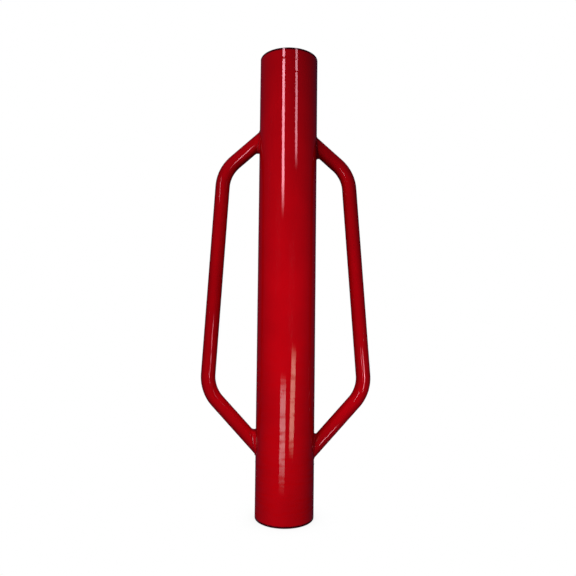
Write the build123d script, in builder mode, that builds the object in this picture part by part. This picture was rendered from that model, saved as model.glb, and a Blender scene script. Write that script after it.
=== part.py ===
from build123d import *
from collections import namedtuple
import os

# A manual post driver: a steel tube that drops over a post, closed near its top by a solid
# striking plug, with two bent bar handles welded to its sides.
# Millimetres. The origin is the centre of the open mouth, +Z runs up the barrel to the
# closed end, and the two handles lie in the XZ plane.

# Barrel: standard 76.1 x 6.3 tube, 600 long
barrel_od = 76.1
barrel_wall = 6.3
barrel_length = 600
rim_round = 0.8
mouth_chamfer = 1.0

# Striking plug: it stops on a shoulder where the top end of the tube is turned wider
plug_length = 38
plug_recess = 4.0
seat_step = 1.25
seat_clearance = 0.2
plug_edge = 0.5
weld_bevel = 5.0

# Ring weld between the plug and the tube
ring_crown = 2.0
ring_toe = 0.8

# Handles: 19 mm round bar. Each one is held up by hand and welded, so the right one sits a few
# millimetres lower and leans out one degree more. A centreline is given by the two heights
# at which it meets the outside of the barrel, and by the two points (distance from the
# barrel's axis, height) where its straight runs would cross
bar_d = 19
bend_radius = 2.5 * bar_d
Hang = namedtuple("Hang", "top_joint_z top_corner bottom_corner bottom_joint_z")
left_hang = Hang(490.8, (85.2, 449.0), (102.3, 162.2), 93.2)
right_hang = Hang(483.9, (80.0, 446.6), (102.62, 163.0), 89.9)

# Beads round the ends of the handles
bead_radius = 3.5

barrel_r = barrel_od / 2
bore_r = barrel_r - barrel_wall
seat_r = bore_r + seat_step
plug_r = seat_r - seat_clearance
bevel_top_r = plug_r - weld_bevel
plug_top_z = barrel_length - plug_recess
strike_face_z = plug_top_z - plug_length
weld_root_z = plug_top_z - weld_bevel


def end_on_axis(joint_z, corner):
    """Where a handle's end run would reach the barrel's axis if it carried on straight."""
    slope = (joint_z - corner[1]) / (corner[0] - barrel_r)
    return (0, joint_z + slope * barrel_r)


def bent_bar(hang):
    """A bar bent twice, to the right of the barrel, with both ends coped to sit against it."""
    with BuildPart() as bar:
        with BuildLine(Plane.XZ) as centreline:
            FilletPolyline(
                end_on_axis(hang.top_joint_z, hang.top_corner),
                hang.top_corner,
                hang.bottom_corner,
                end_on_axis(hang.bottom_joint_z, hang.bottom_corner),
                radius=bend_radius,
            )
        with BuildSketch(Plane(origin=centreline.line @ 0, z_dir=centreline.line % 0)):
            Circle(bar_d / 2)
        sweep(path=centreline.line)
        with BuildSketch():
            Circle(barrel_r)
        extrude(amount=barrel_length, mode=Mode.SUBTRACT)
    return bar


def coped_ends(bar):
    """The two hollow end faces of a bar, upper one first."""
    return bar.faces().sort_by(Axis.X)[:2].sort_by(Axis.Z)[::-1]


def weld_bead(bar, coped_end):
    """A round bead laid along the line where the bar meets the tube.

    The joint is symmetric about the XZ plane, so the bead is swept along one half of that
    line and mirrored, and then the bar and the tube are cut out of it.
    """
    half_end = split(coped_end, bisect_by=Plane.XZ, keep=Keep.TOP)
    seam = half_end.edges().sort_by(SortBy.LENGTH)[-1]
    with BuildPart() as bead:
        with BuildSketch(Plane(origin=seam @ 0, z_dir=seam % 0)):
            Circle(bead_radius)
        sweep(path=seam)
        mirror(bead.part, about=Plane.XZ)
        add(bar.part, mode=Mode.SUBTRACT)
        with BuildSketch():
            Circle(barrel_r)
        extrude(amount=barrel_length, mode=Mode.SUBTRACT)
    return bead


def mirrored(piece):
    """The matching piece on the left side of the barrel."""
    with BuildPart() as twin:
        mirror(piece.part, about=Plane.YZ)
    return twin


# The tube, with its bore, the wider seat at the top and broken edges
with BuildPart() as barrel:
    with BuildSketch():
        Circle(barrel_r)
        Circle(bore_r, mode=Mode.SUBTRACT)
    extrude(amount=barrel_length)
    with BuildSketch(Plane.XY.offset(strike_face_z)):
        Circle(seat_r)
    extrude(amount=barrel_length - strike_face_z, mode=Mode.SUBTRACT)
    top_edges = barrel.edges().filter_by(GeomType.CIRCLE).group_by(Axis.Z)[-1]
    fillet(top_edges, rim_round)
    mouth_edges = barrel.edges().filter_by(GeomType.CIRCLE).group_by(Axis.Z)[0]
    inner_edge, outer_edge = mouth_edges.sort_by(SortBy.RADIUS)
    chamfer(inner_edge, mouth_chamfer)
    fillet(outer_edge, rim_round)

# The plug: its lower face strikes the post, and its upper edge is bevelled for the weld
with BuildPart() as strike_plug:
    with BuildSketch(Plane.XY.offset(strike_face_z)):
        Circle(plug_r)
    extrude(amount=plug_length)
    chamfer(strike_plug.faces().sort_by(Axis.Z)[-1].edges(), weld_bevel)
    chamfer(strike_plug.faces().sort_by(Axis.Z)[0].edges(), plug_edge)

# The ring weld: it fills the groove above the plug's bevel and crowns over the plug
with BuildPart() as plug_weld:
    with BuildSketch(Plane.XZ):
        with BuildLine():
            toe = (bevel_top_r - ring_toe, plug_top_z)
            wall_toe = (seat_r, plug_top_z + ring_crown / 2)
            crown = ((toe[0] + seat_r) / 2, plug_top_z + ring_crown)
            Polyline(toe, (bevel_top_r, plug_top_z), (plug_r, weld_root_z))
            Polyline((plug_r, weld_root_z), (seat_r, weld_root_z), wall_toe)
            ThreePointArc(wall_toe, crown, toe)
        make_face()
    revolve(axis=Axis.Z)

# The right handle with the beads at its two ends
right_handle = bent_bar(right_hang)
right_upper_weld, right_lower_weld = [
    weld_bead(right_handle, end) for end in coped_ends(right_handle)
]

# The left handle, made on the right with its beads and mirrored across
left_bar = bent_bar(left_hang)
left_handle = mirrored(left_bar)
left_upper_weld, left_lower_weld = [
    mirrored(weld_bead(left_bar, end)) for end in coped_ends(left_bar)
]

pieces = {
    "barrel": barrel,
    "strike_plug": strike_plug,
    "plug_weld": plug_weld,
    "left_handle": left_handle,
    "right_handle": right_handle,
    "left_upper_weld": left_upper_weld,
    "left_lower_weld": left_lower_weld,
    "right_upper_weld": right_upper_weld,
    "right_lower_weld": right_lower_weld,
}
os.makedirs("parts", exist_ok=True)
for name, piece in pieces.items():
    piece.part.label = name
    export_step(piece.part, f"parts/{name}.step")
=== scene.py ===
import math
from collections import namedtuple
import bpy
import numpy as np
from mathutils import Matrix, Vector


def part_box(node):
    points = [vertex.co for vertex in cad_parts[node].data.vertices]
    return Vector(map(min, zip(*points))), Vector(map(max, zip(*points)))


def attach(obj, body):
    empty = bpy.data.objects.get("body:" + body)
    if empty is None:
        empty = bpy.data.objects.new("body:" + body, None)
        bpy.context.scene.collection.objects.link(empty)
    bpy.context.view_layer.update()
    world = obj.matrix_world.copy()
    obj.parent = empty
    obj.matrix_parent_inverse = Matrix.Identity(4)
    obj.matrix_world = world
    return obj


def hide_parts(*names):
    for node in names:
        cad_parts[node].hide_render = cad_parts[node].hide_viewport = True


# A post driver in gloss red enamel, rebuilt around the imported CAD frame. Metres.
# +Z runs up the barrel from its open mouth, and both handles lie in the XZ plane.

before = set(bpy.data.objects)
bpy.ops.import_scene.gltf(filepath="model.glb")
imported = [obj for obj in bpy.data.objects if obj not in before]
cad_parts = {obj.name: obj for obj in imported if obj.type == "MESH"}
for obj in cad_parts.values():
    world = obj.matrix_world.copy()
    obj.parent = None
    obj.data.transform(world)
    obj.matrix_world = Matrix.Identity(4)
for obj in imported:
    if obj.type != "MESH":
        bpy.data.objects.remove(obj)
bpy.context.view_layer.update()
MM = 0.001
TURN = 2 * math.pi

# Sizes read from the CAD nodes
barrel_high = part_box("barrel")[1]
BARREL_R = barrel_high.y
LENGTH = barrel_high.z
plug_low, plug_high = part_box("strike_plug")
PLUG_R = plug_high.x
STRIKE_Z = plug_low.z
PLUG_TOP = plug_high.z
ring_low, ring_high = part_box("plug_weld")
SEAT_R = ring_high.x
RING_ROOT = ring_low.z
BAR_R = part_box("right_handle")[1].y


def joint_height(node):
    """A bead is as tall above its joint as below it, so the joint is at mid-height."""
    low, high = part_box(node)
    return (low.z + high.z) / 2


Hang = namedtuple("Hang", "top_joint top_corner bottom_corner bottom_joint")


def hang(side_name, top_corner, bottom_corner):
    """Where a handle's straight runs meet the tube and each other: distance from the
    barrel's axis, and height."""
    top_joint = (BARREL_R, joint_height(f"{side_name}_upper_weld"))
    bottom_joint = (BARREL_R, joint_height(f"{side_name}_lower_weld"))
    return Hang(top_joint, top_corner, bottom_corner, bottom_joint)


# Sizes the boxes don't give, as in the CAD
BORE_R = 31.75 * MM
RIM_ROUND = 0.8 * MM
MOUTH_CHAMFER = 1.0 * MM
WELD_BEVEL = 5.0 * MM
PLUG_EDGE = 0.5 * MM
BEND_RADIUS = 2.5 * 2 * BAR_R
HANGS = {
    "left": hang("left", (0.0852, 0.4490), (0.1023, 0.1622)),
    "right": hang("right", (0.0800, 0.4466), (0.10262, 0.1630)),
}


# How far each hand-laid bead reaches from the seam: inside the handle's opening along the bar
# and along the tube, outside it along both, and how much more it covers of the bar in front
Legs = namedtuple("Legs", "inside_bar inside_tube outside front_extra")
BEAD_LEGS = {
    "left_upper_weld": Legs(6.5 * MM, 4.7 * MM, 1.2 * MM, 0.5 * MM),
    "left_lower_weld": Legs(7.5 * MM, 5.6 * MM, 1.2 * MM, 5.6 * MM),
    "right_upper_weld": Legs(5.5 * MM, 4.4 * MM, 0.7 * MM, 0.5 * MM),
    "right_lower_weld": Legs(4.2 * MM, 3.6 * MM, 0.7 * MM, 1.5 * MM),
}

Y_AXIS = np.array([0, 1, 0])
Z_AXIS = np.array([0, 0, 1])
LEVEL = np.array([1, 1, 0])


# ---------------------------------------------------------------- mesh helpers

class Shape:
    """Vertices and faces gathered from grids of points, then made into one object."""

    def __init__(self):
        self.points = []
        self.faces = []

    def grid(self, points, wrap_rows):
        """A sheet through points[row, column]; columns always close on themselves."""
        rows, columns = points.shape[:2]
        first = len(self.points)
        self.points.extend(points.reshape(-1, 3).tolist())
        for i in range(rows if wrap_rows else rows - 1):
            a = first + i * columns
            b = first + (i + 1) % rows * columns
            for j in range(columns):
                k = (j + 1) % columns
                self.faces.append((a + j, a + k, b + k, b + j))
        return first

    def cap(self, first, columns, centre, facing_up):
        """A fan that closes a ring of points."""
        hub = len(self.points)
        self.points.append(list(centre))
        for j in range(columns):
            edge = (first + j, first + (j + 1) % columns)
            self.faces.append((*edge, hub) if facing_up else (*reversed(edge), hub))

    def build(self, name, material, node):
        """The finished piece, riding on the object's one body in place of its CAD node."""
        mesh = bpy.data.meshes.new(name)
        mesh.from_pydata(self.points, [], self.faces)
        mesh.polygons.foreach_set("use_smooth", [True] * len(mesh.polygons))
        mesh.validate()
        mesh.update()
        mesh.materials.append(material)
        piece = bpy.data.objects.new(name, mesh)
        bpy.context.scene.collection.objects.link(piece)
        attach(piece, "root")
        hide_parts(node)
        return piece


def arc(centre, radius, start, end, steps):
    """Points on a circular arc in a plane; the angles are in degrees."""
    angles = np.radians(np.linspace(start, end, steps + 1))
    return [(centre[0] + radius * math.cos(a), centre[1] + radius * math.sin(a)) for a in angles]


def run(start, end, step):
    """Evenly spaced points on a straight run, both ends included."""
    length = math.dist(start, end)
    count = max(1, math.ceil(length / step))
    return [
        (start[0] + (end[0] - start[0]) * i / count, start[1] + (end[1] - start[1]) * i / count)
        for i in range(count + 1)
    ]


def ring_angles(columns):
    """Angles of evenly spaced points on a ring."""
    return np.arange(columns) * TURN / columns


def unit(v):
    return v / np.linalg.norm(v, axis=-1, keepdims=True)


def in_3d(v):
    """A point or direction of the XZ plane."""
    return np.array([v[0], 0, v[1]])


def onto_tube(points):
    """Moves points level, to or from the Z axis, onto the tube's outer skin."""
    reach = np.linalg.norm(points * LEVEL, axis=-1, keepdims=True)
    return points * (Z_AXIS + LEVEL * BARREL_R / reach)


def coped(points, direction, radius):
    """Slides points along a handle's end run until they lie on a cylinder about Z."""
    reach = (points[..., 0] - np.sqrt(radius**2 - points[..., 1] ** 2)) / direction[0]
    return points - reach[..., None] * direction


def waves(seed, count, shortest, longest, turns):
    """A smooth random ripple of about unit size over an angle and a length along the work:
    a sum of sine waves, each between shortest and longest, that wind round it by a few turns."""
    dice = np.random.default_rng(seed)
    terms = [
        (
            dice.integers(-turns, turns + 1),
            TURN / dice.uniform(shortest, longest),
            dice.uniform(0, TURN),
        )
        for _ in range(count)
    ]

    def ripple(angle, along):
        total = 0
        for n, k, phase in terms:
            total = total + np.sin(n * angle + k * along + phase)
        return total / math.sqrt(count / 2)

    return ripple


# ---------------------------------------------------------------- node helpers

def new_material(name):
    """An empty node material with its output."""
    material = bpy.data.materials.new(name)
    material.use_nodes = True
    material.node_tree.nodes.clear()
    output = material.node_tree.nodes.new("ShaderNodeOutputMaterial")
    return material, material.node_tree, output


def put(tree, kind, inputs, **settings):
    """A node with its settings made and its inputs linked or filled in."""
    node = tree.nodes.new(kind)
    for key, value in settings.items():
        setattr(node, key, value)
    for key, value in inputs.items():
        if isinstance(value, bpy.types.NodeSocket):
            tree.links.new(value, node.inputs[key])
        else:
            node.inputs[key].default_value = value
    return node


def calc(tree, operation, a, b=0.0):
    return put(tree, "ShaderNodeMath", {0: a, 1: b}, operation=operation).outputs[0]


def vector(tree, operation, a, b):
    return put(tree, "ShaderNodeVectorMath", {0: a, 1: b}, operation=operation).outputs


def ease(tree, value, start, end, low=0.0, high=1.0):
    """A smooth step from low to high as value goes from start to end."""
    inputs = {"Value": value, "From Min": start, "From Max": end, "To Min": low, "To Max": high}
    return put(tree, "ShaderNodeMapRange", inputs, interpolation_type="SMOOTHSTEP").outputs[0]


def noise(tree, coords, scale, detail=3.0, roughness=0.55):
    inputs = {"Vector": coords, "Scale": scale, "Detail": detail, "Roughness": roughness}
    return put(tree, "ShaderNodeTexNoise", inputs).outputs["Fac"]


def blend_colour(tree, factor, first, second):
    inputs = {"Factor": factor, 6: first, 7: second}
    return put(tree, "ShaderNodeMix", inputs, data_type="RGBA").outputs[2]


def bump(tree, height, strength, distance, normal=None):
    inputs = {"Height": height, "Strength": strength, "Distance": distance}
    if normal is not None:
        inputs["Normal"] = normal
    return put(tree, "ShaderNodeBump", inputs).outputs[0]


def object_coords(tree):
    """The point being shaded, in the object's own frame."""
    return put(tree, "ShaderNodeTexCoord", {}).outputs["Object"]


def split(tree, point):
    """The x, y and z of a point."""
    return put(tree, "ShaderNodeSeparateXYZ", {"Vector": point}).outputs


def axis_distance(tree, point):
    """How far a point is from the Z axis."""
    level = vector(tree, "MULTIPLY", point, tuple(LEVEL))[0]
    return put(tree, "ShaderNodeVectorMath", {0: level}, operation="LENGTH").outputs["Value"]


# ---------------------------------------------------------------- materials

ENAMEL_RED = (0.49, 0.0004, 0.0034, 1.0)
ENAMEL_DEEP = (0.42, 0.0003, 0.0030, 1.0)
ENAMEL_THIN = (0.27, 0.0006, 0.0036, 1.0)
# Nearly black: the thin coat at the tube's ends, darkened partly as painted shade of the rounded rims
ENAMEL_EDGE_SHADED = (0.045, 0.0006, 0.0030, 1.0)
# Black, laid over the colour as painted shade where a surface is seen at a grazing angle
SHADE = (0, 0, 0, 1)
STEEL_DARK = (0.055, 0.055, 0.06, 1)
STEEL_PALE = (0.16, 0.155, 0.15, 1)
RUST = (0.13, 0.050, 0.022, 1)

# Texture scales, in cells per metre
CLOUD_SCALE = 14.0
SAW_WANDER_SCALE = 25.0
RUST_SCALE = 45.0
NIB_SCALE = 70.0
WAVE_SCALE = 95.0
OXIDE_SCALE = 160.0
MOTTLE_SCALE = 170.0
MIST_SCALE = 240.0
EDGE_SCALE = 300.0
BAR_SKIN_SCALE = 330.0
RING_SCALE = 360.0
PEEL_SCALE = 420.0
GRAIN_SCALE = 700.0
WELD_SKIN_SCALE = 900.0

# How high things stand in the surface of the coat and of the bare steel
WAVE_HEIGHT = 0.040 * MM
PEEL_HEIGHT = 0.006 * MM
NIB_HEIGHT = 0.12 * MM
OXIDE_HEIGHT = 0.15 * MM

# Distances from the barrel's two ends at which the coat starts to thin out and darken, and at which
# it is thinnest and darkest, partly as painted shade of the rounded rims, and how ragged that edge is
THIN_AND_SHADED_AT_TOP = (3.0 * MM, 1.2 * MM)
THIN_AND_SHADED_AT_MOUTH = (2.8 * MM, 1.4 * MM)
THIN_AND_SHADED_RAGGED = 1.2 * MM

# Overspray in the bore: how far it drifts up from the mouth, and over what height it fades
MIST_DRIFT = 60 * MM
MIST_FADE = (-25 * MM, 15 * MM)

# Marks in the metal below the coat, in millimetres: the barrel's drawing rings, a blemish, the
# skin of bar and weld, and the saw marks on the plug
RING_DEPTH = 0.05
BLEMISH_DEPTH = 0.05
SKIN_DEPTH = 0.008
SAW_DEPTH = 0.010

# The drawing rings fade out between these heights, and they are stretched round the tube
RINGS_FADE = (0.28, 0.17)
RING_STRETCH = (0.12, 0.12, 1.0)

# Distance between two saw marks, and how far they wander
SAW_PITCH = 1.3 * MM
SAW_WANDER = 6 * MM

# Small faults in the barrel's front: azimuth in degrees from the front, then height, half of
# the width and half of the height in metres
BLEMISHES = [
    (-10.6, 0.5865, 5.0 * MM, 2.4 * MM),
    (13.5, 0.5850, 1.4 * MM, 1.2 * MM),
    (14.0, 0.5690, 2.6 * MM, 1.5 * MM),
    (17.0, 0.1370, 2.2 * MM, 1.5 * MM),
    (-4.0, 0.1670, 3.0 * MM, 1.3 * MM),
]


def enamel_colour(tree, clouds, grain, thinned_and_shaded, painted_grazing_shade):
    """Two reds in slow clouds, with a fine grain. Where the coat is thin at the tube's ends it is
    darkened almost to black, partly as painted shade of the rounded rims, and a painted shade darkens
    the colour towards black where the surface is seen at a grazing angle."""
    tone = blend_colour(tree, ease(tree, clouds, 0.30, 0.70), ENAMEL_RED, ENAMEL_DEEP)
    colour = blend_colour(tree, ease(tree, grain, 0.62, 0.80, 0.0, 0.25), tone, ENAMEL_THIN)
    # The thin coat at the tube's ends goes nearly black, partly as painted shade of the rounded rims
    if thinned_and_shaded is not None:
        colour = blend_colour(tree, thinned_and_shaded, colour, ENAMEL_EDGE_SHADED)
    # Painted shade: the colour goes towards black as the surface turns away from the view
    facing = put(tree, "ShaderNodeLayerWeight", {"Blend": 0.5}).outputs["Facing"]
    return blend_colour(tree, calc(tree, "MULTIPLY", facing, painted_grazing_shade), colour, SHADE)


def enamel_normal(tree, coords, peel, marks):
    """The coat's surface: slow waves, orange peel, dust nibs and the marks below it."""
    waviness = noise(tree, coords, WAVE_SCALE, detail=1.0)
    orange_peel = noise(tree, coords, PEEL_SCALE, detail=2.0, roughness=0.4)
    nibs = put(tree, "ShaderNodeTexVoronoi", {"Vector": coords, "Scale": NIB_SCALE})
    lot = put(tree, "ShaderNodeSeparateColor", {0: nibs.outputs["Color"]}).outputs[0]
    nib = ease(tree, nibs.outputs["Distance"], 0.06, 0.0)
    nib_height = calc(tree, "MULTIPLY", nib, ease(tree, lot, 0.90, 0.92))
    normal = bump(tree, waviness, 0.25 * peel, WAVE_HEIGHT)
    normal = bump(tree, orange_peel, 0.30 * peel, PEEL_HEIGHT, normal)
    normal = bump(tree, nib_height, 0.8, NIB_HEIGHT, normal)
    return bump(tree, marks, 1.0, MM, normal)


def enamel(tree, coords, marks, peel=1.0, dull=None, thinned_and_shaded=None, gloss=1.0, painted_grazing_shade=0.5):
    """Gloss red enamel: an uneven coat over steel, with orange peel and dust nibs in it.

    marks is a height in the metal below, in millimetres, that shows through the coat. dull
    is how far the gloss is lost, from 0 to 1. The edge mask, also from 0 to 1, is how far the
    coat has drawn back from an edge, where it is darkened almost to black, partly as painted
    shade of a rounded rim. The grazing weight is how strongly a painted shade darkens the
    colour where the surface is seen at a grazing angle.
    """
    clouds = noise(tree, coords, CLOUD_SCALE, detail=4.0)
    grain = noise(tree, coords, GRAIN_SCALE, detail=2.0)
    mottle = noise(tree, coords, MOTTLE_SCALE, detail=4.0, roughness=0.65)
    normal = enamel_normal(tree, coords, peel, marks)
    coat = ease(tree, mottle, 0.25, 0.60, 0.72 * gloss, gloss)
    if dull is not None:
        coat = calc(tree, "MULTIPLY", coat, calc(tree, "SUBTRACT", 1.0, dull))
    shader = put(
        tree,
        "ShaderNodeBsdfPrincipled",
        {
            "Base Color": enamel_colour(tree, clouds, grain, thinned_and_shaded, painted_grazing_shade),
            "Roughness": ease(tree, grain, 0.2, 0.8, 0.42, 0.55),
            "Specular IOR Level": 0.0,
            "Normal": normal,
            "Coat Weight": coat,
            "Coat Roughness": ease(tree, clouds, 0.3, 0.7, 0.035, 0.065),
            "Coat IOR": 1.5,
            "Coat Normal": normal,
        },
    )
    return shader.outputs[0]


def bare_steel(tree, coords):
    """Dark mill-finish steel with patches of oxide and a little rust."""
    oxide = noise(tree, coords, OXIDE_SCALE, detail=5.0, roughness=0.65)
    rust = noise(tree, coords, RUST_SCALE, detail=6.0, roughness=0.7)
    colour = blend_colour(tree, ease(tree, oxide, 0.35, 0.65), STEEL_DARK, STEEL_PALE)
    colour = blend_colour(tree, ease(tree, rust, 0.60, 0.78, 0.0, 0.6), colour, RUST)
    normal = bump(tree, oxide, 0.5, OXIDE_HEIGHT)
    shader = put(
        tree,
        "ShaderNodeBsdfPrincipled",
        {
            "Base Color": colour,
            "Metallic": ease(tree, rust, 0.45, 0.75, 0.85, 0.2),
            "Roughness": ease(tree, oxide, 0.3, 0.7, 0.40, 0.62),
            "Normal": normal,
        },
    )
    return shader.outputs[0]


def blemish(tree, coords, azimuth, height, half_width, half_height):
    """A soft spot on the barrel's skin, 1 at its centre and 0 beyond its edge."""
    angle = math.radians(azimuth)
    centre = (BARREL_R * math.sin(angle), -BARREL_R * math.cos(angle), height)
    offset = vector(tree, "SUBTRACT", coords, centre)[0]
    shrunk = vector(tree, "MULTIPLY", offset, (1 / half_width, 1 / half_width, 1 / half_height))[0]
    reach = put(tree, "ShaderNodeVectorMath", {0: shrunk}, operation="LENGTH").outputs["Value"]
    return ease(tree, reach, 1.0, 0.2)


def barrel_marks(tree, coords, z):
    """Faint rings left round the tube by drawing and rubbing down, and a few blemishes: the
    height of the skin in millimetres, and how dull they leave the coat."""
    stretched = vector(tree, "MULTIPLY", coords, RING_STRETCH)[0]
    rings = noise(tree, stretched, RING_SCALE, detail=1.0)
    low_down = ease(tree, z, *RINGS_FADE)
    marks = calc(tree, "MULTIPLY", rings, calc(tree, "MULTIPLY", low_down, RING_DEPTH))
    rubbed = ease(tree, rings, 0.50, 0.64)
    dull = calc(tree, "MULTIPLY", rubbed, calc(tree, "MULTIPLY", low_down, 0.6))
    for fault in BLEMISHES:
        spot = blemish(tree, coords, *fault)
        marks = calc(tree, "ADD", marks, calc(tree, "MULTIPLY", spot, BLEMISH_DEPTH))
        dull = calc(tree, "MAXIMUM", dull, spot)
    return marks, dull


def thin_coat_and_rim_shade(tree, coords, z, across):
    """Where the coat has drawn back from the tube's two ends, on its outer skin; the same mask
    darkens the rounded rims there almost to black as painted shade.
    """
    ragged = calc(tree, "MULTIPLY", noise(tree, coords, EDGE_SCALE), THIN_AND_SHADED_RAGGED)
    from_top = calc(tree, "SUBTRACT", calc(tree, "SUBTRACT", LENGTH, z), ragged)
    from_mouth = calc(tree, "SUBTRACT", z, ragged)
    top_edge = ease(tree, from_top, *THIN_AND_SHADED_AT_TOP)
    mouth_edge = ease(tree, from_mouth, *THIN_AND_SHADED_AT_MOUTH)
    outside = ease(tree, across, BARREL_R - 1.0 * MM, BARREL_R - 0.4 * MM)
    return calc(tree, "MULTIPLY", calc(tree, "MAXIMUM", top_edge, mouth_edge), outside)


def barrel_material():
    """Enamel outside, bare tube inside, with overspray that fades from the mouth."""
    material, tree, output = new_material("barrel_enamel")
    coords = object_coords(tree)
    z = split(tree, coords)[2]
    across = axis_distance(tree, coords)
    marks, dull = barrel_marks(tree, coords, z)
    # Thin coat at both ends of the tube, darkened partly as painted shade of the rounded rims
    thinned_and_shaded = thin_coat_and_rim_shade(tree, coords, z, across)
    # Painted shade darkens the tube's paint towards its silhouettes, at this strength
    paint = enamel(tree, coords, marks, dull=dull, thinned_and_shaded=thinned_and_shaded, painted_grazing_shade=0.54)
    inside = ease(tree, across, BORE_R + 0.6 * MM, BORE_R + 0.2 * MM)
    mist = noise(tree, coords, MIST_SCALE, detail=5.0, roughness=0.7)
    reach = calc(tree, "SUBTRACT", z, calc(tree, "MULTIPLY", mist, MIST_DRIFT))
    bare = calc(tree, "MULTIPLY", inside, ease(tree, reach, *MIST_FADE))
    steel = bare_steel(tree, coords)
    mixed = put(tree, "ShaderNodeMixShader", {0: bare, 1: paint, 2: steel})
    tree.links.new(mixed.outputs[0], output.inputs[0])
    return material


def bar_material():
    """Enamel over hot-rolled bar, whose skin is a little rougher than the tube's."""
    material, tree, output = new_material("bar_enamel")
    coords = object_coords(tree)
    marks = calc(tree, "MULTIPLY", noise(tree, coords, BAR_SKIN_SCALE), SKIN_DEPTH)
    # Painted shade darkens the bars strongly towards their silhouettes
    paint = enamel(tree, coords, marks, peel=1.3, gloss=0.8, painted_grazing_shade=0.9)
    tree.links.new(paint, output.inputs[0])
    return material


def weld_material():
    """Enamel over weld metal."""
    material, tree, output = new_material("weld_enamel")
    coords = object_coords(tree)
    marks = calc(tree, "MULTIPLY", noise(tree, coords, WELD_SKIN_SCALE), SKIN_DEPTH)
    # Painted shade darkens the beads strongly towards their silhouettes
    paint = enamel(tree, coords, marks, peel=1.2, painted_grazing_shade=0.9)
    tree.links.new(paint, output.inputs[0])
    return material


def plug_material():
    """Painted on top over saw marks, bare on the striking face."""
    material, tree, output = new_material("plug_steel_and_enamel")
    coords = object_coords(tree)
    x, _, z = split(tree, coords)
    wander = calc(tree, "MULTIPLY", noise(tree, coords, SAW_WANDER_SCALE), SAW_WANDER)
    phase = calc(tree, "MULTIPLY", calc(tree, "ADD", x, wander), TURN / SAW_PITCH)
    marks = calc(tree, "MULTIPLY", calc(tree, "SINE", phase), SAW_DEPTH)
    paint = enamel(tree, coords, marks)
    steel = bare_steel(tree, coords)
    bare = ease(tree, z, PLUG_TOP - 1.5 * WELD_BEVEL, PLUG_TOP - 2 * WELD_BEVEL)
    mixed = put(tree, "ShaderNodeMixShader", {0: bare, 1: paint, 2: steel})
    tree.links.new(mixed.outputs[0], output.inputs[0])
    return material


# ---------------------------------------------------------------- pieces

# Points round each piece, rows across each weld, and how finely the handles are cut
BARREL_COLUMNS = 288
PLUG_COLUMNS = 96
FACE_RINGS = 36
BAR_COLUMNS = 64
BAR_STEP = 2.5 * MM
BEND_STEPS = 24
COPED_RINGS = 12
RING_COLUMNS, RING_ROWS = 720, 15
BEAD_COLUMNS, BEAD_ROWS = 256, 11

# The wavy skins lie this far under the CAD's, so that they never stand proud of it
TUBE_SINK = 0.06 * MM
BAR_SINK = 0.02 * MM

# Sizes of the waves in the skins of tube and bar, and the dents in the striking face
TUBE_BROAD_WAVE = 0.010 * MM
TUBE_FINE_WAVE = 0.0045 * MM
BAR_WAVE = 0.008 * MM
DENTS = 40

# Ripples in the two kinds of weld, and how high they stand
RING_RIPPLES = 74
RING_RIPPLE = 0.20 * MM
BEAD_RIPPLES = 30
BEAD_RIPPLE = 0.15 * MM

# The ring weld: how far it covers the plug past the bevel, its crown, how much higher it ends
# on the tube than on the plug, and the azimuth at which it was started
RING_TOE = 0.8 * MM
RING_CROWN = 1.45 * MM
RING_CLIMB = 0.9 * MM
RING_START = 4.2

# The beads: how far their edges wander, how thick they are outside the handle's opening, and
# how much of the leg is lost to the hollow face inside it or gained in front
BEAD_WANDER = 0.2 * MM
BEAD_SWELL = 0.34 * MM
BEAD_HOLLOW = 0.26
BEAD_FRONT_SWELL = 0.2
SPATTER = 5


def revolve(profile, columns, shrink=None):
    """Points of an outline of (radius, height) pairs turned about the Z axis."""
    angles = ring_angles(columns)
    radius = np.array([p[0] for p in profile])[:, None] + 0 * angles
    height = np.array([p[1] for p in profile])[:, None] + 0 * angles
    if shrink is not None:
        radius = radius - shrink(angles[None, :], radius, height)
    return np.stack([radius * np.cos(angles), radius * np.sin(angles), height], axis=-1)


def barrel_outline():
    """The tube's section, up its outside, over its top end and down its bore."""
    top = LENGTH
    outer_round = BARREL_R - RIM_ROUND
    outline = run((BARREL_R, RIM_ROUND), (BARREL_R, top - RIM_ROUND), 2.2 * MM)
    outline += arc((outer_round, top - RIM_ROUND), RIM_ROUND, 0, 90, 5)[1:]
    outline += arc((SEAT_R + RIM_ROUND, top - RIM_ROUND), RIM_ROUND, 90, 180, 5)
    outline += run((SEAT_R, top - 2 * RIM_ROUND), (SEAT_R, STRIKE_Z), 4 * MM)
    outline += run((BORE_R, STRIKE_Z), (BORE_R, MOUTH_CHAMFER), 8 * MM)
    outline += [(BORE_R + MOUTH_CHAMFER, 0)]
    outline += arc((outer_round, RIM_ROUND), RIM_ROUND, -90, 0, 5)[:-1]
    return outline


def build_barrel(material):
    """The tube: its outer skin carries the slight waviness of drawn and painted tube."""
    broad = waves(seed=11, count=14, shortest=60 * MM, longest=240 * MM, turns=3)
    fine = waves(seed=12, count=22, shortest=16 * MM, longest=70 * MM, turns=13)
    skin_depth = 0.5 * MM

    def shrink(angle, radius, height):
        skin = np.clip((radius - (BARREL_R - skin_depth)) / skin_depth, 0, 1)
        ripple = TUBE_BROAD_WAVE * broad(angle, height) + TUBE_FINE_WAVE * fine(angle, height)
        return skin * (TUBE_SINK + np.clip(ripple, -TUBE_SINK, TUBE_SINK))

    shape = Shape()
    shape.grid(revolve(barrel_outline(), BARREL_COLUMNS, shrink), wrap_rows=True)
    return shape.build("barrel_tube", material, "barrel")


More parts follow.
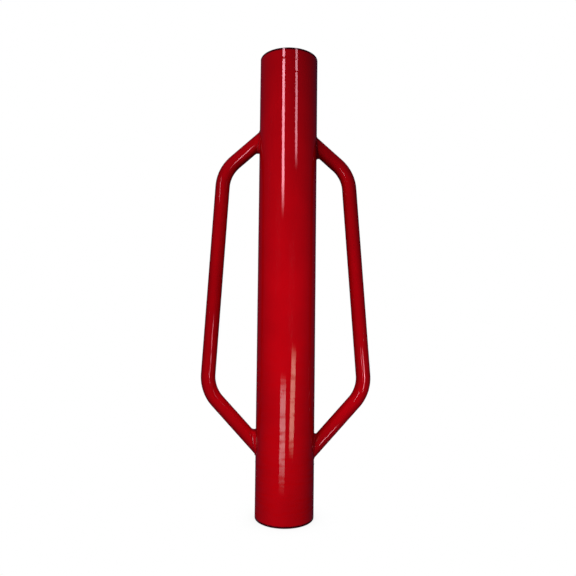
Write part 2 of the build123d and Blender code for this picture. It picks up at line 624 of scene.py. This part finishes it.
def dent(face, count, seed):
    """Presses shallow round dents into rings of points on the striking face."""
    dice = np.random.default_rng(seed)
    for _ in range(count):
        spot = dice.uniform(-0.7, 0.7, 2) * PLUG_R
        size = dice.uniform(1.5, 5.0) * MM
        depth = dice.uniform(0.1, 0.5) * MM
        gap = np.hypot(face[..., 0] - spot[0], face[..., 1] - spot[1])
        face[..., 2] += depth * np.exp(-((gap / size) ** 2))


def build_plug(material):
    """The striking plug, with dents on the face that meets the post."""
    hub = 0.4 * MM
    outline = [(r, STRIKE_Z) for r in np.linspace(hub, PLUG_R - PLUG_EDGE, FACE_RINGS)]
    outline += run((PLUG_R, STRIKE_Z + PLUG_EDGE), (PLUG_R, PLUG_TOP - WELD_BEVEL), 6 * MM)
    outline += run((PLUG_R - WELD_BEVEL, PLUG_TOP), (hub, PLUG_TOP), 1.5 * MM)
    points = revolve(outline, PLUG_COLUMNS)
    dent(points[:FACE_RINGS], DENTS, seed=5)
    shape = Shape()
    first = shape.grid(points, wrap_rows=False)
    last = first + (len(outline) - 1) * PLUG_COLUMNS
    face_centre = (0, 0, points[0, :, 2].mean())
    shape.cap(first, PLUG_COLUMNS, face_centre, facing_up=False)
    shape.cap(last, PLUG_COLUMNS, (0, 0, PLUG_TOP), facing_up=True)
    return shape.build("strike_plug_body", material, "strike_plug")


def weld_ripple(phase):
    """Height of a weld's ripples: each one rises slowly and drops off sharply."""
    saw = phase - np.floor(phase)
    return np.sin(math.pi * saw**0.65) - 0.5


def build_ring_weld(material):
    """The ring of weld round the plug, laid in overlapping crescents."""
    angles = ring_angles(RING_COLUMNS)[None, :]
    across = np.linspace(0, 1, RING_ROWS)[:, None]
    dome = 1 - (2 * across - 1) ** 2
    drift = waves(seed=21, count=6, shortest=1.0, longest=2.0, turns=5)(angles, 0.0)
    bevel_top = PLUG_R - WELD_BEVEL
    inner = bevel_top - RING_TOE - 0.25 * MM * drift
    radius = inner + (SEAT_R + 0.1 * MM - inner) * across
    start = np.exp(-(((angles - RING_START) / 0.06) ** 2))
    ripple = weld_ripple(RING_RIPPLES * angles / TURN - 0.55 * dome)
    crown = RING_CROWN + (0.12 * drift + 0.35 * start) * MM
    height = PLUG_TOP + RING_CLIMB * across + dome * crown + dome**0.6 * RING_RIPPLE * ripple
    top = np.stack([radius * np.cos(angles), radius * np.sin(angles), height], -1)
    root_outline = [
        (SEAT_R - 0.05 * MM, RING_ROOT + 0.1 * MM),
        (bevel_top + 0.5 * MM, PLUG_TOP - 0.8 * MM),
    ]
    root = revolve(root_outline, RING_COLUMNS)
    shape = Shape()
    shape.grid(np.concatenate([top, root])[::-1], wrap_rows=True)
    return shape.build("plug_ring_weld", material, "plug_weld")


def bend_at(corner, into, out):
    """One bend: where it starts, points on it with the heading at each, and where it ends."""
    bend = math.acos(np.clip(into @ out, -1, 1))
    tangent = BEND_RADIUS * math.tan(bend / 2)
    hub = corner + unit(out - into) * BEND_RADIUS / math.cos(bend / 2)
    points = []
    for i in range(1, BEND_STEPS):
        turn = bend * i / BEND_STEPS
        heading = (math.sin(bend - turn) * into + math.sin(turn) * out) / math.sin(bend)
        spoke = np.array([heading[1], -heading[0]])
        if spoke @ (corner - hub) < 0:
            spoke = -spoke
        points.append((hub + BEND_RADIUS * spoke, heading))
    return corner - tangent * into, points, corner + tangent * out


def centreline(corners, headings):
    """Points along a handle's bar with the heading at each, from its top joint down."""
    line = []
    start = corners[0]
    for corner, into, out in zip(corners[1:3], headings, headings[1:]):
        entry, bend, leave = bend_at(corner, into, out)
        line += [(np.array(p), into) for p in run(start, entry, BAR_STEP)]
        line += bend
        start = leave
    line += [(np.array(p), headings[2]) for p in run(start, corners[3], BAR_STEP)]
    return line


def bar_rings(line, ripple):
    """Rings of points round a centreline, for a bar whose skin is slightly wavy."""
    angles = ring_angles(BAR_COLUMNS)
    rings = []
    travelled = 0.0
    previous = line[0][0]
    for centre, heading in line:
        travelled += math.dist(centre, previous)
        previous = centre
        radius = BAR_R - BAR_SINK - BAR_WAVE * np.clip(ripple(angles, travelled), -2, 2)
        across = np.array([heading[1], 0, -heading[0]])
        spokes = np.cos(angles)[:, None] * across + np.sin(angles)[:, None] * Y_AXIS
        rings.append(in_3d(centre) + radius[:, None] * spokes)
    return np.array(rings)


def cope_ends(rings, headings):
    """Stretches the two end runs so that their last rings lie just under the tube's skin."""
    under_skin = BARREL_R - 0.5 * MM
    top_end = list(range(COPED_RINGS))
    bottom_end = list(range(-1, -COPED_RINGS - 1, -1))
    for end, heading in ((top_end, headings[0]), (bottom_end, -headings[2])):
        anchor = rings[end[-1]].copy()
        target = coped(anchor, in_3d(heading), under_skin)
        for i, k in enumerate(end):
            rings[k] = target + (anchor - target) * i / (COPED_RINGS - 1)


def build_handle(side_name, side, material):
    """A bar bent twice in the XZ plane; both ends run just under the tube's skin."""
    corners = [np.array(p) for p in HANGS[side_name]]
    headings = [unit(b - a) for a, b in zip(corners, corners[1:])]
    ripple = waves(seed=31 + side, count=20, shortest=12 * MM, longest=90 * MM, turns=4)
    rings = bar_rings(centreline(corners, headings), ripple)
    cope_ends(rings, headings)
    rings[..., 0] *= side
    ordered = rings if side > 0 else rings[:, ::-1]
    shape = Shape()
    first = shape.grid(ordered, wrap_rows=False)
    last = first + (len(ordered) - 1) * BAR_COLUMNS
    shape.cap(first, BAR_COLUMNS, ordered[0].mean(0), facing_up=False)
    shape.cap(last, BAR_COLUMNS, ordered[-1].mean(0), facing_up=True)
    return shape.build(f"{side_name}_handle_bar", material, f"{side_name}_handle")


# The line where a bar's end meets the tube: its points, how far round each one is, and the
# directions there, which are out along the bar, square to the bar's skin, square to the
# tube's skin, and away from the seam along the tube
Seam = namedtuple("Seam", "angles points share outward bar_normal tube_normal away")


def lay_seam(joint, corner):
    """The seam of the bar that runs straight from a joint to a corner."""
    angles = ring_angles(BEAD_COLUMNS)
    outward = unit(in_3d(corner) - in_3d(joint))
    sideways = np.array([outward[2], 0, -outward[0]])
    bar_normal = np.cos(angles)[:, None] * sideways + np.sin(angles)[:, None] * Y_AXIS
    points = coped(in_3d(joint) + BAR_R * bar_normal, outward, BARREL_R)
    tube_normal = points * LEVEL / BARREL_R
    along = unit(np.roll(points, -1, 0) - np.roll(points, 1, 0))
    away = np.cross(tube_normal, along)
    away = away * np.sign(np.sum(away * bar_normal, -1, keepdims=True))
    length = np.cumsum(np.linalg.norm(np.roll(points, -1, 0) - points, axis=-1))
    share = np.concatenate([[0], length[:-1]]) / length[-1]
    return Seam(angles, points, share, outward, bar_normal, tube_normal, away)


def bead_toes(seam, legs, drift):
    """The bead's edge on the bar, its edge on the tube, and how far it swells between."""
    tight = -np.sum(seam.bar_normal * seam.tube_normal, -1, keepdims=True)
    tight = tight / tight.max()
    inside = (0.5 + 0.5 * tight) ** 2
    front = 1 - tight**2
    leg_bar = legs.outside + (legs.inside_bar - legs.outside) * inside
    leg_bar = leg_bar + legs.front_extra * front + BEAD_WANDER * drift(seam.angles, 0.0)[:, None]
    leg_tube = legs.outside + (legs.inside_tube - legs.outside) * inside
    leg_tube = leg_tube + BEAD_WANDER * drift(seam.angles, 1.0)[:, None]
    swell = BEAD_SWELL - BEAD_HOLLOW * legs.inside_tube * inside + BEAD_FRONT_SWELL * leg_bar * front
    toe_tube = onto_tube(seam.points + leg_tube * seam.away)
    return seam.points + leg_bar * seam.outward, toe_tube, swell[:, 0]


def bead_rows(seam, legs, drift, start):
    """Rows of points from the bead's edge on the bar, over its crest and back under it."""
    toe_bar, toe_tube, swell = bead_toes(seam, legs, drift)
    up = unit(seam.bar_normal + seam.tube_normal)
    uneven = (0.08 * drift(seam.angles, 2.0) + 0.3 * start) * MM
    rows = []
    for across in np.linspace(0, 1, BEAD_ROWS):
        dome = 1 - (2 * across - 1) ** 2
        flat = toe_bar * (1 - across) + toe_tube * across
        ripple = weld_ripple(BEAD_RIPPLES * seam.share - 0.5 * dome)
        lift = dome * (swell + uneven) + dome**0.6 * BEAD_RIPPLE * ripple
        rows.append(flat + lift[:, None] * up)
    rows.append(toe_tube - 0.6 * MM * seam.tube_normal)
    rows.append(seam.points - 0.8 * MM * up)
    rows.append(toe_bar - 0.6 * MM * seam.bar_normal)
    return np.array(rows), toe_tube


def build_weld(side, joint, corner, seed, name, material):
    """A bead round one end of a handle, in overlapping crescents, with some spatter."""
    dice = np.random.default_rng(seed)
    seam = lay_seam(joint, corner)
    start = np.exp(-(((seam.share - dice.uniform(0.2, 0.8)) / 0.03) ** 2))
    drift = waves(seed, count=6, shortest=1.0, longest=2.0, turns=6)
    rows, toe_tube = bead_rows(seam, BEAD_LEGS[name], drift, start)
    mirror = np.array([side, 1, 1])
    rows = rows * mirror
    shape = Shape()
    shape.grid(rows if side < 0 else rows[:, ::-1], wrap_rows=True)
    for _ in range(SPATTER):
        k = dice.integers(BEAD_COLUMNS)
        spot = onto_tube(toe_tube[k] + dice.uniform(1.5, 9.0) * MM * seam.away[k])
        add_spatter(shape, spot * mirror, dice.uniform(0.30, 0.65) * MM)
    return shape.build(f"{name}_bead", material, name)


def add_spatter(shape, spot, size):
    """One droplet of weld metal stuck to the tube, as a low closed dome."""
    normal = unit(spot * LEVEL)
    sideways = np.array([-normal[1], normal[0], 0])
    columns = 10
    angles = ring_angles(columns)
    spokes = np.cos(angles)[:, None] * sideways + np.sin(angles)[:, None] * Z_AXIS
    height = 0.8 * size
    leans = np.radians([-40, -10, 20, 45, 70])
    rows = [
        spot + math.sin(lean) * height * normal + math.cos(lean) * size * spokes
        for lean in leans
    ]
    first = shape.grid(np.array(rows), wrap_rows=False)
    last = first + (len(rows) - 1) * columns
    shape.cap(first, columns, spot - 0.6 * size * normal, facing_up=False)
    shape.cap(last, columns, spot + height * normal, facing_up=True)


# ---------------------------------------------------------------- stage

def aim(obj, direction, up):
    """Turns an object so that its -Z axis points along direction and +Y towards up."""
    back = -Vector(direction).normalized()
    right = Vector(up).cross(back).normalized()
    top = back.cross(right)
    turn = Matrix((right, top, back)).transposed().to_4x4()
    obj.matrix_world = Matrix.Translation(obj.location) @ turn


# The viewpoint: about 70 cm from the barrel's axis, level with its lower half. The camera is
# tipped up, turned and rolled by a few degrees
CAMERA_PLACE = (0.0028, -0.6931, 0.2654)
CAMERA_TURNS = ((-0.634, "Y"), (2.514, "X"), (0.078, "Z"))
SENSOR_WIDTH = 36.0
FOCAL_LENGTH = 32.97


def build_camera():
    lens = bpy.data.cameras.new("camera")
    lens.sensor_width = SENSOR_WIDTH
    lens.lens = FOCAL_LENGTH
    lens.clip_start = 0.05
    lens.clip_end = 60
    camera = bpy.data.objects.new("camera", lens)
    bpy.context.scene.collection.objects.link(camera)
    turn = Matrix.Rotation(math.pi / 2, 4, "X")
    for degrees, axis in CAMERA_TURNS:
        turn = Matrix.Rotation(math.radians(degrees), 4, axis) @ turn
    camera.matrix_world = Matrix.Translation(CAMERA_PLACE) @ turn
    bpy.context.scene.camera = camera


def area_light(name, low, high, width, radiance, tint):
    """A panel of light between two points, facing the object."""
    low, high = Vector(low), Vector(high)
    lamp = bpy.data.lights.new(name, "AREA")
    lamp.shape = "RECTANGLE"
    lamp.size = width
    lamp.size_y = (high - low).length
    lamp.energy = radiance * math.pi * lamp.size * lamp.size_y
    lamp.color = tint
    light = bpy.data.objects.new(name, lamp)
    bpy.context.scene.collection.objects.link(light)
    light.location = (low + high) / 2
    nearest = Vector((0, 0, min(max(light.location.z, 0), LENGTH)))
    aim(light, nearest - light.location, high - low)
    light.visible_camera = False
    return light


def hold_by_camera(light):
    """Fixes a lamp to the camera, like studio lights that stay put while the object turns."""
    bpy.context.view_layer.update()
    placed = light.matrix_world.copy()
    camera = bpy.context.scene.camera
    light.parent = camera
    light.matrix_parent_inverse = camera.matrix_world.inverted()
    light.matrix_world = placed


def light_only(light, pieces):
    """Links a lamp to the pieces that it lights."""
    receivers = bpy.data.collections.new(f"{light.name}_receivers")
    for piece in pieces:
        receivers.objects.link(piece)
    light.light_linking.receiver_collection = receivers


def strip_light(name, low, high, width, radiance, tint, fades, seen_in):
    """A lamp seen only as a streak in the gloss of some pieces. It fades over a share of
    its length at each end."""
    strip = area_light(name, low, high, width, radiance, tint)
    strip.visible_diffuse = False
    strip.data.use_nodes = True
    tree = strip.data.node_tree
    tree.nodes.clear()
    output = tree.nodes.new("ShaderNodeOutputLight")
    spot = put(tree, "ShaderNodeNewGeometry", {}).outputs["Parametric"]
    along = put(tree, "ShaderNodeSeparateXYZ", {"Vector": spot}).outputs[1]
    low_end = ease(tree, along, 0.0, fades[0]) if fades[0] else 1.0
    high_end = ease(tree, along, 1.0, 1.0 - fades[1]) if fades[1] else 1.0
    level = calc(tree, "MULTIPLY", low_end, high_end)
    glow = put(tree, "ShaderNodeEmission", {"Strength": level})
    tree.links.new(glow.outputs[0], output.inputs[0])
    light_only(strip, seen_in)
    hold_by_camera(strip)


def soft_light(name, low, high, width, power, seen_in):
    """A lamp that lights the paint of some pieces and has no reflection of its own."""
    area = width * math.dist(low, high)
    light = area_light(name, low, high, width, power / (math.pi * area), (1, 1, 1))
    light.visible_glossy = False
    light_only(light, seen_in)
    return light


# Distance in front of the barrel's axis of the strips for the trunk and of those for the bars
NEAR = -0.138
CLOSE = -0.050
ROSE = (1, 0.52, 0.63)
CREAM = (1, 0.90, 0.92)
AMBER = (1, 0.74, 0.58)

# Strip lamps: low end, high end, width, radiance, tint, and the share of the length over
# which the low end and the high end fade
TRUNK_STRIPS = {
    "upper_left": ((-0.037, NEAR, 0.399), (-0.047, NEAR, 0.679), 0.020, 17, ROSE, (0.23, 0)),
    "upper_right": ((0.076, NEAR, 0.474), (0.066, NEAR, 0.679), 0.020, 10, ROSE, (0.20, 0)),
    "lower_left": ((-0.023, NEAR, 0.003), (-0.017, NEAR, 0.179), 0.044, 4.8, CREAM, (0.42, 0.22)),
    "lower_right": ((0.051, NEAR, 0.049), (0.074, NEAR, 0.219), 0.040, 6.2, AMBER, (0.28, 0.22)),
}
LEFT_BAR_STRIPS = {
    "left_leg": ((-0.071, CLOSE, 0.450), (-0.022, CLOSE, 0.479), 0.009, 24, ROSE, (0.3, 0.3)),
    "left_shoulder": ((-0.105, CLOSE, 0.415), (-0.118, CLOSE, 0.462), 0.009, 9, ROSE, (0.2, 0.4)),
    "left_grip": ((-0.078, CLOSE, 0.170), (-0.072, CLOSE, 0.262), 0.018, 36, ROSE, (0, 0.35)),
    "left_bend": ((-0.037, -0.080, 0.179), (-0.033, -0.080, 0.188), 0.010, 12, ROSE, (0.2, 0.2)),
}
RIGHT_BAR_STRIPS = {
    "right_bend": ((0.052, CLOSE, 0.442), (0.059, CLOSE, 0.449), 0.007, 14, ROSE, (0.2, 0.2)),
    "right_grip": ((0.093, CLOSE, 0.172), (0.082, CLOSE, 0.219), 0.007, 26, ROSE, (0.1, 0.4)),
    "right_grip_edge": ((0.121, CLOSE, 0.178), (0.102, CLOSE, 0.217), 0.009, 22, ROSE, (0, 0.25)),
    "right_bend_edge": ((0.103, CLOSE, 0.155), (0.121, CLOSE, 0.178), 0.009, 20, ROSE, (0.3, 0)),
    "right_bend_inner": ((0.077, CLOSE, 0.158), (0.072, CLOSE, 0.168), 0.008, 34, ROSE, (0.2, 0.3)),
    "right_foot": ((0.049, CLOSE, 0.072), (0.100, CLOSE, 0.098), 0.008, 18, ROSE, (0, 0.5)),
}
BEAD_STRIPS = {
    "bead_glint": ((-0.16, -0.45, 0.62), (-0.16, -0.45, 0.74), 0.12, 5, ROSE, (0.2, 0.2)),
}
LOWER_LEFT_BEAD_STRIPS = {
    "lower_left_glint": ((-0.225, -0.12, 0.032), (-0.105, -0.12, 0.165), 0.075, 9, ROSE, (0.15, 0.4)),
}

# Soft lamps: low end, high end, width and power in watts
TRUNK_LAMPS = {
    "trunk_key": ((0.10, -0.3, 0.19), (0.10, -0.3, 0.39), 0.12, 0.39),
    "trunk_fill": ((-0.20, -0.3, 0.3), (-0.20, -0.3, 0.5), 0.12, 0.20),
    "trunk_side": ((-1.85, -0.33, 0.8), (-1.85, -0.33, 1.2), 0.4, 18.0),
    "trunk_low": ((0.0, -1.1, -1.4), (0.0, -0.9, -1.5), 0.4, 36.6),
}
LEFT_BAR_LAMPS = {
    "left_bar_key": ((0.05, -0.3, -0.08), (0.05, -0.3, 0.06), 0.12, 0.34),
    "left_bar_side": ((-1.73, -1.0, 0.1), (-1.73, -1.0, 0.5), 0.4, 18.0),
    "left_bar_top": ((0.52, -1.5, 1.5), (0.52, -1.4, 1.6), 0.4, 20.5),
}
RIGHT_BAR_LAMPS = {
    "right_bar_key": ((0.08, -0.3, -0.08), (0.08, -0.3, 0.06), 0.12, 0.30),
    "right_bar_side": ((-1.73, -1.0, 0.1), (-1.73, -1.0, 0.5), 0.4, 14.0),
    "right_bar_top": ((-0.7, -0.9, 1.5), (-0.7, -0.8, 1.6), 0.4, 11.0),
}
RIGHT_EDGE_LAMPS = {
    "right_bar_edge": ((0.36, -0.30, 0.12), (0.36, -0.30, 0.28), 0.12, 0.80),
}

# A lamp straight above, behind the barrel's axis, so that it lights only what faces upwards
OVERHEAD = ((0, 0.3, 2.4), (0, 0.5, 2.4), 0.4, 30.0)


def build_lights(trunk, bars, beads):
    """Strips that are reflected as the streaks on the trunk (the barrel, its plug and the
    ring weld) and on the two bars, and soft lamps for the paint's own colour."""
    left_bar, right_bar = bars["left"], bars["right"]
    left_beads, right_beads = beads["left"], beads["right"]
    left_side, right_side = [left_bar, *left_beads], [right_bar, *right_beads]
    for strips, seen_in in (
        (TRUNK_STRIPS, trunk),
        (LEFT_BAR_STRIPS, [left_bar]),
        (RIGHT_BAR_STRIPS, [right_bar]),
        (BEAD_STRIPS, left_beads + right_beads),
        (LOWER_LEFT_BEAD_STRIPS, left_beads[1:]),
    ):
        for name, (low, high, width, radiance, tint, fades) in strips.items():
            strip_light(name, low, high, width, radiance, tint, fades, seen_in)
    for lamps, seen_in in (
        (TRUNK_LAMPS, trunk),
        (LEFT_BAR_LAMPS, left_side),
        (RIGHT_BAR_LAMPS, right_side),
        (RIGHT_EDGE_LAMPS, [right_bar]),
    ):
        for name, (low, high, width, power) in lamps.items():
            hold_by_camera(soft_light(name, low, high, width, power, seen_in))
    soft_light("overhead", *OVERHEAD, trunk + left_side + right_side)


# The room and the floor are white to the camera, and give only this much light to the object
WHITE = (1, 1, 1, 1)
ROOM_TINT = (0.6, 0.45, 1.0, 1)
ROOM_GLOW = 0.05
FLOOR_GLOW = 0.02
FLOOR_REACH = 12.0
CONTACT_REACH = 0.16


def seen_or_felt(tree, seen, felt):
    """One shader for the camera's own rays and another for all other light."""
    path = put(tree, "ShaderNodeLightPath", {})
    choice = {0: path.outputs["Is Camera Ray"], 1: felt, 2: seen}
    return put(tree, "ShaderNodeMixShader", choice).outputs[0]


def build_floor():
    """A seamless floor that glows white to the camera, with a soft shadow painted in where the tool
    stands.
    """
    mesh = bpy.data.meshes.new("floor")
    corners = [(x * FLOOR_REACH, y * FLOOR_REACH, 0) for x, y in ((-1, -1), (1, -1), (1, 1), (-1, 1))]
    mesh.from_pydata(corners, [], [(0, 1, 2, 3)])
    floor = bpy.data.objects.new("floor", mesh)
    bpy.context.scene.collection.objects.link(floor)
    material, tree, output = new_material("floor_white")
    # Painted shadow: ambient occlusion dims the floor's glow near the tool
    contact = put(tree, "ShaderNodeAmbientOcclusion", {"Distance": CONTACT_REACH}, samples=16)
    shade = ease(tree, contact.outputs["AO"], 0.0, 0.8, 0.70, 1.0)
    seen = put(tree, "ShaderNodeEmission", {"Color": WHITE, "Strength": shade}).outputs[0]
    felt = put(tree, "ShaderNodeEmission", {"Color": WHITE, "Strength": FLOOR_GLOW}).outputs[0]
    tree.links.new(seen_or_felt(tree, seen, felt), output.inputs[0])
    mesh.materials.append(material)
    floor.visible_glossy = False
    floor.visible_shadow = False


def build_world():
    """White behind the object, and a dim even room around it."""
    world = bpy.data.worlds.new("studio")
    bpy.context.scene.world = world
    world.use_nodes = True
    tree = world.node_tree
    tree.nodes.clear()
    output = tree.nodes.new("ShaderNodeOutputWorld")
    seen = put(tree, "ShaderNodeBackground", {"Color": WHITE, "Strength": 1.0}).outputs[0]
    felt = put(tree, "ShaderNodeBackground", {"Color": ROOM_TINT, "Strength": ROOM_GLOW}).outputs[0]
    tree.links.new(seen_or_felt(tree, seen, felt), output.inputs[0])


# ---------------------------------------------------------------- assembly

bar_paint = bar_material()
weld_paint = weld_material()
trunk = [build_barrel(barrel_material()), build_plug(plug_material()), build_ring_weld(weld_paint)]
bars = {}
beads = {}
for side_name, side in (("left", -1), ("right", 1)):
    hung = HANGS[side_name]
    bars[side_name] = build_handle(side_name, side, bar_paint)
    beads[side_name] = [
        build_weld(side, joint, corner, seed + side, f"{side_name}_{end}_weld", weld_paint)
        for end, joint, corner, seed in (
            ("upper", hung.top_joint, hung.top_corner, 50),
            ("lower", hung.bottom_joint, hung.bottom_corner, 60),
        )
    ]

build_camera()
build_lights(trunk, bars, beads)
build_floor()
build_world()
bpy.context.scene.view_settings.view_transform = "Standard"
bpy.context.scene.view_settings.look = "None"
